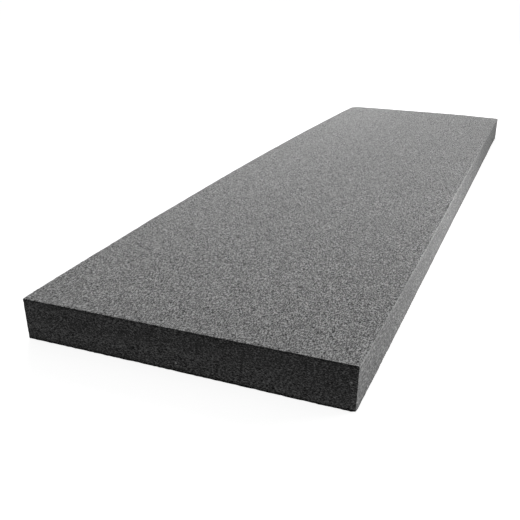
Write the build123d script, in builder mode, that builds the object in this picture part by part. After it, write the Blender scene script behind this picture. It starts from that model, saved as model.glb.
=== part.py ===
"""Foam block: a long flat plank sawn in one piece from a sheet of closed-cell foam."""

import os

from build123d import *

# Driving dimensions, in millimetres
length = 1371.6                 # along Y, from one cut end to the other
end_width = 381.0               # across X, at either cut end
thickness = 50.8                # along Z, as the sheet was made
side_bow = 14.5                 # how far the left long side stands out at mid-length
near_corner_radius = 2.0        # upright corners of the near end, almost sharp from the saw
far_left_corner_radius = 20.0   # upright corner of the far end by the bowed side, worn round
far_right_corner_radius = 8.0   # upright corner of the far end by the straight side
edge_radius = 1.2               # rims of the top and bottom faces

# The plank lies on z = 0, with the middle of its own box at x = 0 and y = 0
overall_width = end_width + side_bow
right_x = overall_width / 2
left_end_x = right_x - end_width
left_middle_x = -overall_width / 2
far_y = length / 2
near_y = -far_y

with BuildPart() as foam_block:
    # The outline from above has three straight saw cuts and a left side bowed as one arc
    with BuildSketch() as outline:
        with BuildLine():
            Polyline(
                (left_end_x, near_y),
                (right_x, near_y),
                (right_x, far_y),
                (left_end_x, far_y),
            )
            ThreePointArc((left_end_x, far_y), (left_middle_x, 0), (left_end_x, near_y))
        make_face()
        fillet(outline.vertices().group_by(Axis.Y)[0], radius=near_corner_radius)
        far_left_corner = outline.vertices().group_by(Axis.Y)[-1].sort_by(Axis.X)[0]
        fillet(far_left_corner, radius=far_left_corner_radius)
        far_right_corner = outline.vertices().group_by(Axis.Y)[-1].sort_by(Axis.X)[-1]
        fillet(far_right_corner, radius=far_right_corner_radius)
    extrude(amount=thickness)

    # Both rims are eased a little all the way round
    broad_faces = foam_block.faces().filter_by(Axis.Z)
    fillet(broad_faces.edges(), radius=edge_radius)

foam_block.part.label = "foam_block"

os.makedirs("parts", exist_ok=True)
export_step(foam_block.part, "parts/foam_block.step")
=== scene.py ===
"""Dresses the foam block: its eased, bowed and worn plank, its foam finishes, the camera and the light."""

import logging
import math
from dataclasses import dataclass
from enum import IntEnum
from typing import Any

import bpy
import numpy as np
from mathutils import Matrix, Vector


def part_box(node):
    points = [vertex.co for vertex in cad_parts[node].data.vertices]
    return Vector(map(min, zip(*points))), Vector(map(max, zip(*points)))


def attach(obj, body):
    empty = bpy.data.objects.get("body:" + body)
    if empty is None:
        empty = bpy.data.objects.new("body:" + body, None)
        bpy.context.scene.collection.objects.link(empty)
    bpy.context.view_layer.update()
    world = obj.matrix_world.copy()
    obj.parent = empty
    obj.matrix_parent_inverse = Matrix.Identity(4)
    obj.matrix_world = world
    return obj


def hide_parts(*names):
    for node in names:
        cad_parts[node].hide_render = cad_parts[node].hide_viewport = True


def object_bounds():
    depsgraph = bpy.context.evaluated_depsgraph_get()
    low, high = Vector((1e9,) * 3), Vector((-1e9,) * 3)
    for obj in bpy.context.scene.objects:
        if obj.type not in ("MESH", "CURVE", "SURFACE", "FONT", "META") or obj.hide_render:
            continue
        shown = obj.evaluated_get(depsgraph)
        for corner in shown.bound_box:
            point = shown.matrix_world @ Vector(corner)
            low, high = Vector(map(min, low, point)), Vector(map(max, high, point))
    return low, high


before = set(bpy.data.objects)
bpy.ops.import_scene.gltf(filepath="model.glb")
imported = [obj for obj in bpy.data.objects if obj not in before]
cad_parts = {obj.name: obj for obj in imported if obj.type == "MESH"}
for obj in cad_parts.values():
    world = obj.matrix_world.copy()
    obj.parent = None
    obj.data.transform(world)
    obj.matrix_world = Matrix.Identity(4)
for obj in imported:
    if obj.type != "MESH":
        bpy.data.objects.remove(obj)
CAD_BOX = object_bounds()

MM = 0.001
NODE = "foam_block"
BODY = "root"
# The attribute that carries the painted highlight and painted shade along the rims
PAINTED_RIM_LIGHT = "rim"
# Middle of a pattern that runs from nought to one, and the tone of plain foam
MIDDLE = 0.5
# Shorter than any length here, to keep a division away from nought
TINY = 1e-12
# How many random values a noise has, and how far apart in them the lattice's steps along X, Y and Z are
NOISE_VALUES = 4093
NOISE_STRIDE = (1, 157, 1931)
# Layers of cells in the broad foam's thickness. With the half, the top face cuts its cells through their
# middles, where its swell changes the grain least.
THICKNESS_MM = (CAD_BOX[1].z - CAD_BOX[0].z) / MM
CELL_LAYERS = 42.5

log = logging.getLogger("foam_block")


class Side(IntEnum):
    """Which of the plank's finishes a face wears, by its material slot."""

    BROAD = 0
    LONG = 1
    END = 2


def linear(hex_colour: str) -> tuple[float, float, float, float]:
    """Turns an sRGB hex colour into linear light.

    The numbers are the sRGB curve's own: a short straight stretch, and above it a power.

    Args:
        hex_colour: six hex digits after a hash sign.

    Returns:
        Red, green, blue and an alpha of one.
    """
    srgb = np.array([int(hex_colour[i:i + 2], 16) for i in (1, 3, 5)]) / 255
    light = np.where(srgb <= 0.04045, srgb / 12.92, ((srgb + 0.055) / 1.055) ** 2.4)
    return (*(float(x) for x in light), 1.0)


def add_node(
    tree: bpy.types.NodeTree,
    kind: str,
    inputs: dict[str | int, Any] | None = None,
    **settings: Any,
) -> bpy.types.Node:
    """Adds a node with its settings, and sets or links its inputs.

    Args:
        tree: node tree that gets the node.
        kind: the node type's own name.
        inputs: for each input, by name or number, a value or the output that feeds it.
        **settings: the node's own properties.

    Returns:
        The new node.
    """
    node = tree.nodes.new(kind)
    for name, value in settings.items():
        setattr(node, name, value)
    for name, value in (inputs or {}).items():
        if isinstance(value, bpy.types.NodeSocket):
            tree.links.new(value, node.inputs[name])
        else:
            node.inputs[name].default_value = value
    return node


def value_noise(points: np.ndarray, cell: float, seed: int) -> np.ndarray:
    """A smooth random field between -1 and 1.

    Random values stand on a cubic lattice. A point blends the eight around it, each weighted by the
    product of its smoothstep shares along the three axes.

    Args:
        points: places, one row each.
        cell: lattice spacing in metres.
        seed: picks the random values.

    Returns:
        One value for each point.
    """
    table = np.random.default_rng(seed).uniform(-1, 1, NOISE_VALUES)
    stride = np.array(NOISE_STRIDE)
    base = np.floor(points / cell).astype(np.int64)
    part = points / cell - base
    share = part * part * (3 - 2 * part)
    total = np.zeros(len(points))
    for corner in np.ndindex(2, 2, 2):
        key = ((base + corner) @ stride) % len(table)
        total += table[key] * np.prod(np.where(corner, share, 1 - share), axis=1)
    return total


def bell(distance: np.ndarray, reach: float) -> np.ndarray:
    """Fades from one at no distance to nought, as e to the minus square of distance over reach."""
    return np.exp(-((distance / reach) ** 2))


@dataclass(frozen=True)
class RimLightAndShade:
    """Painted highlight along the plank's rims for a finish, and painted shade below zero.

    Attributes:
        top: shift of tone along the top's rim.
        low: shift of tone along the bottom's rim.
        near: shift of tone along the near end's rim, by its right-hand corner.
        reach_mm: how far from a rim its shift reaches.
    """

    top: float = 0.0
    low: float = 0.0
    near: float = 0.0
    reach_mm: float = 2.0


@dataclass(frozen=True)
class Mark:
    """A single fleck with a colour of its own, or a dark spot of painted shadow in a pit, standing out from
    the foam round it.

    Attributes:
        share: its place, as a share of each side of the plank's box.
        reach_mm: how far it reaches along X, Y and Z.
        mark_hex: its colour in the middle.
    """

    share: tuple[float, float, float]
    reach_mm: tuple[float, float, float]
    mark_hex: str

    def place(self, low: np.ndarray, high: np.ndarray) -> np.ndarray:
        """Gives the mark's place in a box, from its share of each side."""
        return low + np.array(self.share) * (high - low)


@dataclass(frozen=True)
class FoamFinish:
    """Charcoal closed-cell polyethylene foam, cut through its cells.

    Open cells are dark pits and their walls catch the light, so the eye sees a matt grey with a fine
    speckle and a few stray flecks. Real cells are about a millimetre wide, finer than the render shows
    over most of the plank, so they are drawn about three times as long, and the flecks wider still. On the
    sawn ends, which are closer to the eye, they are less than twice as wide.

    Attributes:
        name: the material's name.
        pit_hex: colour down in an open cell.
        body_hex: the foam's average colour.
        wall_hex: colour of a cell wall that catches the light.
        cell_mm: size of a drawn cell along X, Y and Z.
        fleck_mm: how far a stray fleck reaches from its middle.
        mottle_mm: how far apart the mottle's light and dark patches are.
        pit_contrast: how much the tone grows with the distance from a cell's middle.
        deep_contrast: how much more it does so in the deepest pits and on the highest walls.
        cell_contrast: how much the rare light and dark cells differ in tone.
        fleck_contrast: how much the flecks differ in tone.
        mottle_contrast: how much the mottle's patches differ in tone.
        pit_depth_mm: depth that the light sees in a pit.
        roughness: average roughness.
        shine: level of the clear reflection.
        sheen: weight of the soft glow at grazing angles.
        rims: painted highlight and painted shade along the rims.
        marks: single flecks, and dark spots of painted shadow in pits.
        middle_distance: average distance from a cell's middle, in cells, at which the tone is a half.
        fleck_spacing_mm: how far apart the flecks are.
        roughness_swing: how much rougher than average a pit is, and how much smoother a wall.
        sheen_roughness: how widely the sheen spreads.
        polyethylene_ior: refractive index of the plastic.
    """

    name: str
    pit_hex: str
    body_hex: str
    wall_hex: str
    cell_mm: tuple[float, float, float]
    fleck_mm: float
    mottle_mm: float
    pit_contrast: float
    deep_contrast: float
    cell_contrast: float
    fleck_contrast: float
    mottle_contrast: float
    pit_depth_mm: float
    roughness: float
    shine: float
    sheen: float
    rims: RimLightAndShade
    marks: tuple[Mark, ...] = ()
    middle_distance: float = 0.42
    fleck_spacing_mm: float = 8.0
    roughness_swing: float = 0.08
    sheen_roughness: float = 0.6
    polyethylene_ior: float = 1.5

    def weighed(
        self,
        tree: bpy.types.NodeTree,
        start: float | bpy.types.NodeSocket,
        terms: tuple[tuple[bpy.types.NodeSocket, float, float], ...],
    ) -> bpy.types.NodeSocket:
        """Adds up patterns, each less its middle value and times its contrast.

        Args:
            tree: node tree that does the sum.
            start: what the patterns are added to.
            terms: for each pattern, its socket, its middle value and its contrast.

        Returns:
            The socket of the sum.
        """
        for source, middle, contrast in terms:
            centred = add_node(tree, "ShaderNodeMath", {0: source, 1: middle}, operation="SUBTRACT")
            start = add_node(
                tree,
                "ShaderNodeMath",
                {0: centred.outputs[0], 1: contrast, 2: start},
                operation="MULTIPLY_ADD",
            ).outputs[0]
        return start

    def rare_ends(
        self, tree: bpy.types.NodeTree, source: bpy.types.NodeSocket, middle: float
    ) -> bpy.types.NodeSocket:
        """Keeps a pattern's rare ends: less its middle value, doubled and cubed.

        Args:
            tree: node tree that does the sum.
            source: the pattern, from nought to one.
            middle: its middle value.

        Returns:
            The socket of the cube.
        """
        doubled = self.weighed(tree, 0.0, ((source, middle, 2.0),))
        return add_node(tree, "ShaderNodeMath", {0: doubled, 1: 3.0}, operation="POWER").outputs[0]

    def cone(
        self, tree: bpy.types.NodeTree, distance: bpy.types.NodeSocket, reach: float
    ) -> bpy.types.NodeSocket:
        """Turns a distance into a cone.

        Args:
            tree: node tree that draws it.
            distance: the distance from the cone's middle.
            reach: the distance at which it ends.

        Returns:
            A socket that falls evenly from one in the middle to nought at the reach.
        """
        shape = {"Value": distance, "From Min": reach, "From Max": 0.0}
        return add_node(tree, "ShaderNodeMapRange", shape).outputs["Result"]

    def flecks(self, tree: bpy.types.NodeTree, place: bpy.types.NodeSocket) -> bpy.types.NodeSocket:
        """Scatters stray flecks, each a cone of its own light or dark tone round a scattered point.

        Args:
            tree: node tree that draws them.
            place: where on the plank the shader is.

        Returns:
            The socket of the flecks' tone, nought between them.
        """
        points = add_node(
            tree, "ShaderNodeTexVoronoi", {"Vector": place, "Scale": 1 / (self.fleck_spacing_mm * MM)}
        )
        cone = self.cone(tree, points.outputs["Distance"], self.fleck_mm / self.fleck_spacing_mm)
        tone = self.weighed(tree, 0.0, ((points.outputs["Color"], MIDDLE, self.fleck_contrast),))
        return add_node(tree, "ShaderNodeMath", {0: cone, 1: tone}, operation="MULTIPLY").outputs[0]

    def marked(
        self,
        tree: bpy.types.NodeTree,
        colour: bpy.types.NodeSocket,
        low: np.ndarray,
        high: np.ndarray,
    ) -> bpy.types.NodeSocket:
        """Draws the single marks over the foam, flecks and spots of painted shadow, each fading out evenly
        from its middle.

        Args:
            tree: node tree that draws them.
            colour: the foam's own colour.
            low: lowest corner of the box that the marks are placed in.
            high: highest corner of that box.

        Returns:
            The socket of the colour with the marks.
        """
        place = add_node(tree, "ShaderNodeTexCoord").outputs["Object"]
        for mark in self.marks:
            per_reach = 1 / (np.array(mark.reach_mm) * MM)
            counted = add_node(tree, "ShaderNodeVectorMath", {0: place, 1: per_reach}, operation="MULTIPLY")
            ends = {0: counted.outputs["Vector"], 1: mark.place(low, high) * per_reach}
            gap = add_node(tree, "ShaderNodeVectorMath", ends, operation="DISTANCE")
            cone = self.cone(tree, gap.outputs["Value"], 1.0)
            # A mix of colours takes its factor and its two colours at these numbers
            both = {0: cone, 6: colour, 7: linear(mark.mark_hex)}
            colour = add_node(tree, "ShaderNodeMix", both, data_type="RGBA").outputs[2]
        return colour

    def tone(self, tree: bpy.types.NodeTree) -> bpy.types.NodeSocket:
        """Draws the foam's tone: cells, flecks, a faint wide mottle and the painted highlight and shade
        along the rims.

        Args:
            tree: node tree that draws it.

        Returns:
            The socket of the tone, nought in a pit, a half on average and one on a bright wall.
        """
        place = add_node(tree, "ShaderNodeTexCoord").outputs["Object"]
        per_cell = tuple(1 / (size * MM) for size in self.cell_mm)
        counted = add_node(tree, "ShaderNodeVectorMath", {0: place, 1: per_cell}, operation="MULTIPLY")
        cells = add_node(tree, "ShaderNodeTexVoronoi", {"Vector": counted.outputs["Vector"], "Scale": 1.0})
        from_pit, own_tone = cells.outputs["Distance"], cells.outputs["Color"]
        mottle = add_node(
            tree, "ShaderNodeTexNoise", {"Vector": place, "Scale": 1 / (self.mottle_mm * MM)}
        )
        rim = add_node(tree, "ShaderNodeAttribute", attribute_name=PAINTED_RIM_LIGHT)
        return self.weighed(
            tree,
            MIDDLE,
            (
                (from_pit, self.middle_distance, self.pit_contrast),
                (self.rare_ends(tree, from_pit, self.middle_distance), 0.0, self.deep_contrast),
                (self.rare_ends(tree, own_tone, MIDDLE), 0.0, self.cell_contrast),
                (self.flecks(tree, place), 0.0, 1.0),
                (mottle.outputs["Fac"], MIDDLE, self.mottle_contrast),
                # The painted highlight and painted shade along the rims
                (rim.outputs["Fac"], 0.0, 1.0),
            ),
        )

    def material(self, low: np.ndarray, high: np.ndarray) -> bpy.types.Material:
        """Builds the foam's shader.

        Args:
            low: lowest corner of the box that the marks are placed in.
            high: highest corner of that box.

        Returns:
            The finished material.
        """
        material = bpy.data.materials.new(self.name)
        material.use_nodes = True
        tree = material.node_tree
        tree.nodes.clear()
        tone = self.tone(tree)
        ramp = add_node(tree, "ShaderNodeValToRGB", {"Fac": tone})
        stops = ramp.color_ramp.elements
        stops[0].color = linear(self.pit_hex)
        stops[1].color = linear(self.wall_hex)
        stops.new(MIDDLE).color = linear(self.body_hex)
        bump = add_node(tree, "ShaderNodeBump", {"Height": tone, "Distance": self.pit_depth_mm * MM})
        rough = add_node(
            tree,
            "ShaderNodeMapRange",
            {
                "Value": tone,
                "To Min": self.roughness + self.roughness_swing,
                "To Max": self.roughness - self.roughness_swing,
            },
        )
        shader = add_node(
            tree,
            "ShaderNodeBsdfPrincipled",
            {
                "Base Color": self.marked(tree, ramp.outputs["Color"], low, high),
                "Roughness": rough.outputs["Result"],
                "Normal": bump.outputs["Normal"],
                "IOR": self.polyethylene_ior,
                "Specular IOR Level": self.shine,
                "Sheen Weight": self.sheen,
                "Sheen Roughness": self.sheen_roughness,
            },
        )
        add_node(tree, "ShaderNodeOutputMaterial", {"Surface": shader.outputs["BSDF"]})
        return material


@dataclass(frozen=True)
class Wave:
    """A smooth random unevenness: its height, how far apart its bumps are, and the seed that draws it."""

    height: float
    spacing: float
    seed: int

    def at(self, points: np.ndarray) -> np.ndarray:
        """Gives the height at each point."""
        return self.height * value_noise(points, self.spacing, self.seed)


@dataclass(frozen=True)
class Push:
    """A place on the plank where the foam is out of true, fading across, along and evenly in height.

    Attributes:
        move: how far the foam is moved there, in metres.
        share: the place, as a share of each side of the plank's box.
        across: how far the move reaches along X.
        along: how far it reaches along Y.
    """

    move: tuple[float, float, float]
    share: tuple[float, float, float]
    across: float
    along: float

    def at(self, sharp: np.ndarray, low: np.ndarray, high: np.ndarray) -> np.ndarray:
        """Works out the push on each point.

        The move is weighted by two bell curves, of the distance across and of the distance along the
        plank, and by one less the share of the plank's height that lies between.

        Args:
            sharp: points on the sharp box.
            low: the box's lowest corner.
            high: the box's highest corner.

        Returns:
            One move for each point, in metres.
        """
        size = high - low
        gap = sharp - (low + np.array(self.share) * size)
        level = 1 - np.abs(gap[:, 2]) / size[2]
        weight = bell(gap[:, 0], self.across) * bell(gap[:, 1], self.along) * level
        return np.array(self.move) * weight[:, None]


@dataclass
class Plank:
    """The foam plank, as a grid wrapped round a box and drawn onto its eased, bowed and worn shape.

    Attributes:
        name: the piece's name.
        low: lowest corner of the CAD node's box.
        high: highest corner of that box.
        left_bow: how far the left side stands out at mid-length.
        near_corner_radius: radius of the near end's upright corners.
        far_left_radius: radius of the far end's upright corner by the bowed side.
        far_right_radius: radius of the far end's other upright corner.
        edge_radius: radius of the rims round the top and the bottom.
        swell: broad unevenness of the faces.
        ripple: fine unevenness of the faces.
        nick: unevenness whose tops are the nicks in the rims.
        ragged: fine unevenness of the rims.
        rim_light_waver: unevenness of the painted highlight and shade along the rims, as a share of them.
        nick_start: share of the nick wave's height above which there is a nick.
        far_wear: wear of the rims at the far end, as a share of that at the near end.
        wear_reach: how far from an edge the wear reaches.
        near_rim_light_reach: how far from the right side the near rim's painted highlight reaches.
        blunt_depth: how far the near right bottom corner is worn in.
        blunt_reach: how far from the corner that reaches.
        corner_dent: the far right top corner, pressed down.
        rim_bulge: a stretch of the top's right rim that stands out.
        end_overhang: the near end's saw cut, which stands out at the top by the left side.
        end_undercut: the same cut, which is set back at the bottom.
        side_undercut: the right side's saw cut, which is set back at the bottom by the near end.
        row_counts: steps of the grid along X, Y and Z, between the rims.
        row_gathers: how much the grid's rows gather at the ends along X, Y and Z.
        rim_rows: steps of the grid round half a rim.
    """

    name: str
    low: Vector
    high: Vector
    left_bow: float = 14.5 * MM
    near_corner_radius: float = 1.2 * MM
    far_left_radius: float = 20.0 * MM
    far_right_radius: float = 8.0 * MM
    edge_radius: float = 1.0 * MM
    swell: Wave = Wave(height=0.25 * MM, spacing=95 * MM, seed=1)
    ripple: Wave = Wave(height=0.12 * MM, spacing=13 * MM, seed=2)
    nick: Wave = Wave(height=0.8 * MM, spacing=9 * MM, seed=3)
    ragged: Wave = Wave(height=0.25 * MM, spacing=3.2 * MM, seed=4)
    rim_light_waver: Wave = Wave(height=0.4, spacing=25 * MM, seed=5)
    nick_start: float = 0.3
    far_wear: float = 0.3
    wear_reach: float = 2.2 * MM
    near_rim_light_reach: float = 40.0 * MM
    blunt_depth: float = 0.9 * MM
    blunt_reach: float = 3.0 * MM
    corner_dent: Push = Push(
        move=(0, 0, -2.5 * MM), share=(1.0, 1.0, 1.0), across=70 * MM, along=40 * MM
    )
    rim_bulge: Push = Push(
        move=(1.3 * MM, 0, 0), share=(1.0, 0.26, 1.0), across=40 * MM, along=270 * MM
    )
    end_overhang: Push = Push(
        move=(0, -1.9 * MM, 0), share=(0.0, 0.0, 1.0), across=230 * MM, along=60 * MM
    )
    end_undercut: Push = Push(
        move=(0, 1.8 * MM, 0), share=(0.0, 0.0, 0.0), across=230 * MM, along=60 * MM
    )
    side_undercut: Push = Push(
        move=(-0.5 * MM, 0, 0), share=(1.0, 0.0, 0.0), across=40 * MM, along=70 * MM
    )
    row_counts: tuple[int, int, int] = (150, 240, 16)
    row_gathers: tuple[float, float, float] = (0.3, 0.6, 0.3)
    rim_rows: int = 3

    def __post_init__(self) -> None:
        """Finds the sharp box that the grid starts from, with its left side straight."""
        self.sharp_low = np.array([self.low.x + self.left_bow, self.low.y, self.low.z])
        self.sharp_high = np.array(self.high)

    def rows(self, axis: int) -> np.ndarray:
        """Places grid rows along an axis: even turns round each rim, and closer together near the ends.

        Round a rim, a row lies at the radius times one less the tangent of an even angle. Between the
        rims, an even parameter t lies at t less a sine of it, which gathers rows at both ends. A gather
        of nought leaves them even.

        Args:
            axis: 0, 1 or 2 for X, Y or Z.

        Returns:
            Places from the low side to the high side, in metres.
        """
        low, high = self.sharp_low[axis], self.sharp_high[axis]
        turn = np.linspace(math.pi / 4, 0, self.rim_rows, endpoint=False)
        rim = self.edge_radius * (1 - np.tan(turn))
        t = np.linspace(0, 1, self.row_counts[axis] + 1)
        t = t - self.row_gathers[axis] * np.sin(2 * math.pi * t) / (2 * math.pi)
        inner = low + self.edge_radius + t * (high - low - 2 * self.edge_radius)
        return np.concatenate([low + rim, inner, high - rim[::-1]])

    def lattice(self) -> tuple[np.ndarray, np.ndarray, np.ndarray]:
        """Wraps a grid round the sharp box.

        Returns:
            Points, quads with their corners in outward order, and the side that each quad belongs to.
        """
        axes = [self.rows(axis) for axis in range(3)]
        shape = tuple(len(a) for a in axes)
        outer = np.ones(shape, bool)
        outer[1:-1, 1:-1, 1:-1] = False
        number = np.cumsum(outer).reshape(shape) - 1
        points = np.stack(np.meshgrid(*axes, indexing="ij"), axis=-1)[outer]
        quads, sides = [], []
        for axis in range(3):
            for end in (0, -1):
                sheet = np.take(number, end, axis=axis)
                corners = [sheet[:-1, :-1], sheet[1:, :-1], sheet[1:, 1:], sheet[:-1, 1:]]
                # Corners in this order face up along X and Z, and down along Y
                outward = (end == -1) == (axis != 1)
                ordered = corners if outward else corners[::-1]
                quads.append(np.stack(ordered, axis=-1).reshape(-1, 4))
                side = (Side.LONG, Side.END, Side.BROAD)[axis]
                sides.append(np.full(len(quads[-1]), int(side)))
        return points, np.concatenate(quads), np.concatenate(sides)

    def eased(self, sharp: np.ndarray) -> tuple[np.ndarray, np.ndarray]:
        """Rounds the box's upright corners and both rims.

        In plan, a point of a corner's square moves along its radius from the corner's centre, until
        its distance is the larger of its two offsets, which turns the square into a quarter disc. In
        section, the same move turns each rim's square into a quarter disc.

        Args:
            sharp: points on the sharp box.

        Returns:
            The rounded points and the outward direction at each.
        """
        low, high = self.sharp_low, self.sharp_high
        plan = sharp[:, :2]
        far_radius = np.where(sharp[:, 0] < 0, self.far_left_radius, self.far_right_radius)
        radius = np.where(sharp[:, 1] < 0, self.near_corner_radius, far_radius)[:, None]
        core = np.clip(plan, low[:2] + radius, high[:2] - radius)
        offset = plan - core
        reach = np.linalg.norm(offset, axis=1)
        larger = np.abs(offset).max(axis=1)
        in_corner = (np.abs(offset) > 0).all(axis=1)
        shrink = np.where(in_corner, larger / np.maximum(reach, TINY), 1.0)
        rounded = core + offset * shrink[:, None]

        gaps = np.concatenate([plan - low[:2], high[:2] - plan], axis=1)
        nearest = gaps.argmin(axis=1)
        outward = np.array([[-1.0, 0.0], [0.0, -1.0], [1.0, 0.0], [0.0, 1.0]])[nearest]
        outward[in_corner] = (offset / np.maximum(reach, TINY)[:, None])[in_corner]
        inset = np.where(in_corner, radius[:, 0] - larger, gaps.min(axis=1))

        out = np.maximum(self.edge_radius - inset, 0)
        up = sharp[:, 2] - np.clip(sharp[:, 2], low[2] + self.edge_radius, high[2] - self.edge_radius)
        length = np.maximum(np.hypot(out, up), TINY)
        shrink = np.where((out > 0) & (up != 0), np.maximum(out, np.abs(up)) / length, 1.0)
        moved = np.empty_like(sharp)
        moved[:, :2] = rounded - outward * (out * (1 - shrink))[:, None]
        moved[:, 2] = sharp[:, 2] - up * (1 - shrink)
        direction = np.column_stack([outward * out[:, None], up]) / length[:, None]
        return moved, direction

    def bowed(self, points: np.ndarray) -> np.ndarray:
        """Bows the left side as one arc, and stretches the rest evenly from the straight right side.

        The arc's rise at y is the root of its radius squared less y squared, less the same root at the
        ends. A point takes a share of the rise that grows from the right side to the left.

        Args:
            points: points of the straight plank.

        Returns:
            The moved points.
        """
        half = (self.sharp_high[1] - self.sharp_low[1]) / 2
        radius = (half**2 + self.left_bow**2) / (2 * self.left_bow)
        rise = np.sqrt(radius**2 - points[:, 1] ** 2) - (radius - self.left_bow)
        share = (self.sharp_high[0] - points[:, 0]) / (self.sharp_high[0] - self.sharp_low[0])
        moved = points.copy()
        moved[:, 0] -= rise * share
        return moved

    def edge_gap(self, sharp: np.ndarray) -> np.ndarray:
        """Finds how far each point is from the box's nearest edge.

        On a face, the smallest of a point's three distances to the box's sides is nought, and the next
        one is its distance to the nearest edge.

        Args:
            sharp: points on the sharp box.

        Returns:
            One distance for each point, in metres.
        """
        gaps = np.minimum(sharp - self.sharp_low, self.sharp_high - sharp)
        return np.sort(gaps, axis=1)[:, 1]

    def worn(self, points: np.ndarray, direction: np.ndarray, sharp: np.ndarray) -> np.ndarray:
        """Waves the surface a little, nicks the rims, blunts one bottom corner and pushes some places.

        Each wave is a smooth random field times its height. Nicks are the tops of such a field, and fade
        with the distance from the rim as a bell curve, towards the far end and down to the floor. The
        blunt corner moves inwards, by a bell curve of the distance. The pushes are then added.

        Args:
            points: points of the smooth plank.
            direction: outward direction at each.
            sharp: the same points on the sharp box.

        Returns:
            The worn points.
        """
        low, high = self.sharp_low, self.sharp_high
        share = (sharp - low) / (high - low)
        wear = bell(self.edge_gap(sharp), self.wear_reach) * (1 - (1 - self.far_wear) * share[:, 1])
        nick = np.maximum(self.nick.at(points) - self.nick_start * self.nick.height, 0) * share[:, 2]
        lift = self.swell.at(points) + self.ripple.at(points) + wear * (self.ragged.at(points) - nick)
        blunt_corner = np.array([high[0], low[1], low[2]])
        blunt = self.blunt_depth * bell(np.linalg.norm(sharp - blunt_corner, axis=1), self.blunt_reach)
        inward = np.array([-1.0, 1.0, 1.0]) / math.sqrt(3)
        moved = points + direction * lift[:, None] + inward * blunt[:, None]
        saw_leans = (self.end_overhang, self.end_undercut, self.side_undercut)
        for push in (self.corner_dent, self.rim_bulge, *saw_leans):
            moved += push.at(sharp, low, high)
        moved[:, 2] = np.maximum(moved[:, 2], low[2])
        return moved

    def painted_rim_light(self, sharp: np.ndarray, rims: RimLightAndShade) -> np.ndarray:
        """Works out the painted highlight and painted shade along the rims for a finish.

        Each rim's painted light fades from it as a bell curve. The near rim's also fades away from the
        right-hand corner, and a smooth random field varies them all.

        Args:
            sharp: points on the sharp box.
            rims: the finish's painted highlight and shade.

        Returns:
            One shift of tone for each point: painted highlight above nought, painted shade below.
        """
        reach = rims.reach_mm * MM
        low, high = self.sharp_low, self.sharp_high
        by_corner = bell(high[0] - sharp[:, 0], self.near_rim_light_reach)
        tone = (
            rims.top * bell(high[2] - sharp[:, 2], reach)
            + rims.low * bell(sharp[:, 2] - low[2], reach)
            + rims.near * bell(sharp[:, 1] - low[1], reach) * by_corner
        )
        return tone * (1 + self.rim_light_waver.at(sharp))

    def build(self, finishes: dict[Side, FoamFinish]) -> bpy.types.Object:
        """Makes the plank's mesh and dresses it.

        Args:
            finishes: the finish for each side.

        Returns:
            The finished piece.
        """
        sharp, quads, sides = self.lattice()
        smooth, direction = self.eased(sharp)
        points = self.worn(self.bowed(smooth), direction, sharp)
        mesh = bpy.data.meshes.new(self.name)
        mesh.from_pydata(points.tolist(), [], quads.tolist())
        mesh.polygons.foreach_set("material_index", sides)
        for side in Side:
            mesh.materials.append(finishes[side].material(self.sharp_low, self.sharp_high))
        # Painted highlight and painted shade along the rims, for each finish
        tones = np.array([self.painted_rim_light(sharp, finishes[side].rims) for side in Side])
        at_corners = tones[sides[:, None], quads].ravel().astype(np.float32)
        mesh.attributes.new(PAINTED_RIM_LIGHT, "FLOAT", "CORNER").data.foreach_set("value", at_corners)
        mesh.shade_smooth()
        piece = bpy.data.objects.new(self.name, mesh)
        bpy.context.scene.collection.objects.link(piece)
        return piece


@dataclass(frozen=True)
class Lamp:
    """A soft flat lamp, out of sight, that stands at a place and faces another.

    Attributes:
        name: the lamp's name.
        place: where it stands, in metres.
        aim: the place that it faces, in metres.
        width: width of its lit face, in metres.
        height: height of its lit face, in metres.
        watts: its power.
    """

    name: str
    place: tuple[float, float, float]
    aim: tuple[float, float, float]
    width: float
    height: float
    watts: float

    def build(self) -> bpy.types.Object:
        """Adds the lamp to the scene and returns it."""
        data = bpy.data.lights.new(self.name, "AREA")
        data.shape = "RECTANGLE"
        data.size = self.width
        data.size_y = self.height
        data.energy = self.watts
        lamp = bpy.data.objects.new(self.name, data)
        lamp.visible_camera = False
        lamp.location = self.place
        lamp.rotation_euler = (Vector(self.aim) - Vector(self.place)).to_track_quat("-Z", "Y").to_euler()
        bpy.context.scene.collection.objects.link(lamp)
        return lamp


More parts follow.
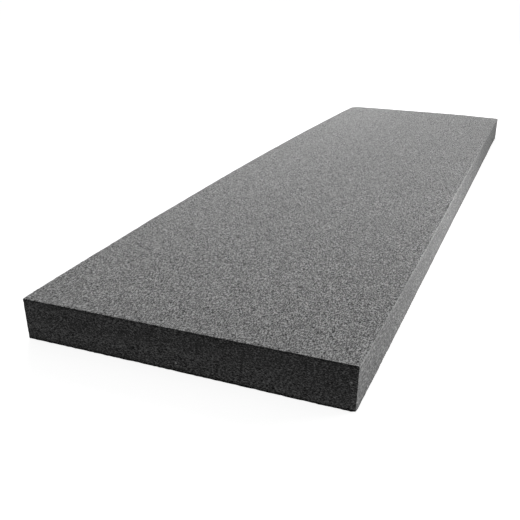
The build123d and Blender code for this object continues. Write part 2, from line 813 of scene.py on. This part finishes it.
@dataclass(frozen=True)
class Studio:
    """A white room: soft lamps, even light all round and a pale floor that keeps a faint shadow.

    Attributes:
        lamps: the lamps.
        room_light: strength of the even light.
        white_hex: colour of the room, and of the glow on the floor.
        floor_size: length of the floor's sides, in metres.
        floor_hex: colour of the floor's paint.
        floor_glow: light that the floor gives where it is seen, which brings it up to white.
    """

    lamps: tuple[Lamp, ...]
    room_light: float
    white_hex: str = "#ffffff"
    floor_size: float = 40.0
    floor_hex: str = "#dadada"
    floor_glow: float = 0.84

    def build(self) -> None:
        """Builds the room, the floor and the lamps."""
        self.room()
        self.floor()
        for lamp in self.lamps:
            lamp.build()

    def room(self) -> None:
        """Gives even light from all round, which the camera and clear reflections see as white."""
        world = bpy.data.worlds.new("white_room")
        bpy.context.scene.world = world
        world.use_nodes = True
        tree = world.node_tree
        tree.nodes.clear()
        seen = self.seen_plainly(tree)
        strength = add_node(
            tree, "ShaderNodeMapRange", {"Value": seen, "To Min": self.room_light, "To Max": 1.0}
        )
        light = add_node(
            tree,
            "ShaderNodeBackground",
            {"Color": linear(self.white_hex), "Strength": strength.outputs["Result"]},
        )
        add_node(tree, "ShaderNodeOutputWorld", {"Surface": light.outputs["Background"]})

    def seen_plainly(self, tree: bpy.types.NodeTree) -> bpy.types.NodeSocket:
        """Finds the rays that show a surface as it is.

        Args:
            tree: node tree that asks.

        Returns:
            A socket that is one for camera, glossy and transmission rays, and zero for the rest.
        """
        path = add_node(tree, "ShaderNodeLightPath")
        seen = path.outputs["Is Camera Ray"]
        for name in ("Is Glossy Ray", "Is Transmission Ray"):
            both = add_node(tree, "ShaderNodeMath", {0: seen, 1: path.outputs[name]}, operation="MAXIMUM")
            seen = both.outputs[0]
        return seen

    def floor(self) -> bpy.types.Object:
        """Lays a pale painted floor, which the camera sees as white with the plank's shadow on it.

        Returns:
            The floor.
        """
        half = self.floor_size / 2
        mesh = bpy.data.meshes.new("floor")
        corners = [(-half, -half, 0), (half, -half, 0), (half, half, 0), (-half, half, 0)]
        mesh.from_pydata(corners, [], [(0, 1, 2, 3)])
        material = bpy.data.materials.new("pale_floor_paint")
        material.use_nodes = True
        tree = material.node_tree
        tree.nodes.clear()
        seen = self.seen_plainly(tree)
        paint = add_node(tree, "ShaderNodeBsdfDiffuse", {"Color": linear(self.floor_hex)})
        glow = add_node(
            tree, "ShaderNodeEmission", {"Color": linear(self.white_hex), "Strength": self.floor_glow}
        )
        both = add_node(tree, "ShaderNodeAddShader", {0: paint.outputs[0], 1: glow.outputs[0]})
        shown = add_node(
            tree, "ShaderNodeMixShader", {0: seen, 1: paint.outputs[0], 2: both.outputs[0]}
        )
        add_node(tree, "ShaderNodeOutputMaterial", {"Surface": shown.outputs[0]})
        mesh.materials.append(material)
        floor = bpy.data.objects.new("floor", mesh)
        bpy.context.scene.collection.objects.link(floor)
        return floor


@dataclass(frozen=True)
class Viewpoint:
    """The camera, standing at the photograph's viewing angle.

    Attributes:
        place: where it stands, in metres.
        azimuth_deg: how far round it stands, from the near end towards the right side.
        elevation_deg: how far it looks down.
        roll_deg: how far it is turned about its own view, anticlockwise.
        lens_mm: focal length.
        shift_up: shift of the picture, as a share of its width.
    """

    place: tuple[float, float, float]
    azimuth_deg: float
    elevation_deg: float
    roll_deg: float
    lens_mm: float
    shift_up: float

    def build(self) -> bpy.types.Object:
        """Adds the camera and makes it the scene's own.

        Returns:
            The camera.
        """
        azimuth, elevation, roll = (
            math.radians(a) for a in (self.azimuth_deg, self.elevation_deg, self.roll_deg)
        )
        back = Vector(
            (
                math.sin(azimuth) * math.cos(elevation),
                -math.cos(azimuth) * math.cos(elevation),
                math.sin(elevation),
            )
        )
        level = Vector((0, 0, 1)).cross(back).normalized()
        upright = back.cross(level)
        right = level * math.cos(roll) + upright * math.sin(roll)
        up = back.cross(right)
        turn = Matrix((right, up, back)).transposed().to_4x4()
        data = bpy.data.cameras.new("camera")
        data.lens = self.lens_mm
        data.shift_y = self.shift_up
        camera = bpy.data.objects.new("camera", data)
        camera.matrix_world = Matrix.Translation(self.place) @ turn
        bpy.context.scene.collection.objects.link(camera)
        bpy.context.scene.camera = camera
        return camera


# The broad faces: an even matt grey with a crisp fine speckle, and a painted highlight along the near rim
# by the right corner
BROAD_FOAM = FoamFinish(
    name="polyethylene_foam_broad_face",
    pit_hex="#101010",
    body_hex="#7c7c7c",
    wall_hex="#dadada",
    cell_mm=(1.2, 3.2, THICKNESS_MM / CELL_LAYERS),
    fleck_mm=1.5,
    mottle_mm=45.0,
    pit_contrast=0.78,
    deep_contrast=1.0,
    cell_contrast=0.6,
    fleck_contrast=5.5,
    mottle_contrast=0.03,
    pit_depth_mm=0.3,
    roughness=0.8,
    shine=0.12,
    sheen=0.1,
    rims=RimLightAndShade(near=0.3, reach_mm=1.5),
    # A dark spot by the top's right rim, painted as the shadow in a pit
    marks=(Mark(share=(0.998, 0.3935, 1.0), reach_mm=(3.0, 15.0, 3.0), mark_hex="#080808"),),
    middle_distance=0.403,
    fleck_spacing_mm=4.3,
)
# The long sides: much the same grey but smoother, with a painted highlight along the top rim and by the
# near end, and painted shade along the bottom rim
LONG_FOAM = FoamFinish(
    name="polyethylene_foam_long_side",
    pit_hex="#101010",
    body_hex="#767676",
    wall_hex="#cccccc",
    cell_mm=(1.2, 3.4, 1.5),
    fleck_mm=1.3,
    mottle_mm=45.0,
    pit_contrast=0.58,
    deep_contrast=0.3,
    cell_contrast=0.35,
    fleck_contrast=1.8,
    mottle_contrast=0.03,
    pit_depth_mm=0.3,
    roughness=0.8,
    shine=0.12,
    sheen=0.1,
    rims=RimLightAndShade(top=0.24, low=-0.08, near=0.08, reach_mm=2.5),
)
# The sawn ends: charcoal, partly the cut cells' own darker tone and mostly painted shade, with a faint
# grain and painted shade along the rims
END_FOAM_IN_PAINTED_SHADE = FoamFinish(
    name="polyethylene_foam_sawn_end_painted_shade",
    pit_hex="#080808",
    # Dark mostly as painted shade on the end that faces away from the lamps
    body_hex="#303030",
    wall_hex="#6c6c6c",
    cell_mm=(1.8, 1.5, 0.9),
    fleck_mm=1.3,
    mottle_mm=30.0,
    pit_contrast=0.8,
    deep_contrast=0.4,
    cell_contrast=1.0,
    fleck_contrast=3.0,
    mottle_contrast=0.06,
    pit_depth_mm=0.4,
    roughness=0.9,
    shine=0.04,
    sheen=0.0,
    rims=RimLightAndShade(top=-0.2, low=-0.28, reach_mm=2.0),
    marks=(
        Mark(share=(0.493, 0.0, 0.209), reach_mm=(1.6, 1.6, 1.8), mark_hex="#c8c8c8"),
        Mark(share=(0.9825, 0.0, 0.632), reach_mm=(1.5, 1.5, 1.5), mark_hex="#b0b0b0"),
    ),
)
# Fitted to the plank's visible corners in the photograph
VIEWPOINT = Viewpoint(
    place=(0.32814, -1.26428, 0.38631),
    azimuth_deg=21.749,
    elevation_deg=22.364,
    roll_deg=0.764,
    lens_mm=50.19,
    shift_up=0.02,
)
STUDIO = Studio(
    lamps=(
        # Lights the top from the far left
        Lamp(
            name="key_lamp",
            place=(-1.4, 1.6, 1.2),
            aim=(0.0, 0.2, 0.0),
            width=1.2,
            height=1.2,
            watts=28.8,
        ),
        # Lifts the far half of the top
        Lamp(
            name="far_lamp",
            place=(-0.6, 0.9, 0.9),
            aim=(0.0, 0.6, 0.0),
            width=0.8,
            height=0.8,
            watts=3.0,
        ),
        # Lights the right side
        Lamp(
            name="side_lamp",
            place=(0.85, -0.12, 0.14),
            aim=(0.2, -0.12, 0.03),
            width=0.4,
            height=0.22,
            watts=3.4,
        ),
        # Stands in for light that a bright floor throws up at the near end
        Lamp(
            name="bounce_lamp",
            place=(0.02, -0.727, 0.002),
            aim=(0.02, -0.727, 1.0),
            width=0.54,
            height=0.08,
            watts=0.066,
        ),
    ),
    room_light=0.24,
)


def main() -> None:
    """Builds the camera, the studio and the plank."""
    logging.basicConfig(level=logging.INFO, format="%(name)s: %(message)s")
    bpy.context.scene.view_settings.view_transform = "Standard"
    VIEWPOINT.build()
    STUDIO.build()
    low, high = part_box(NODE)
    plank = Plank(name="foam_plank", low=low, high=high)
    piece = plank.build({Side.BROAD: BROAD_FOAM, Side.LONG: LONG_FOAM, Side.END: END_FOAM_IN_PAINTED_SHADE})
    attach(piece, BODY)
    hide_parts(NODE)
    log.info("%s: %d quads", piece.name, len(piece.data.polygons))


if __name__ == "__main__":
    main()
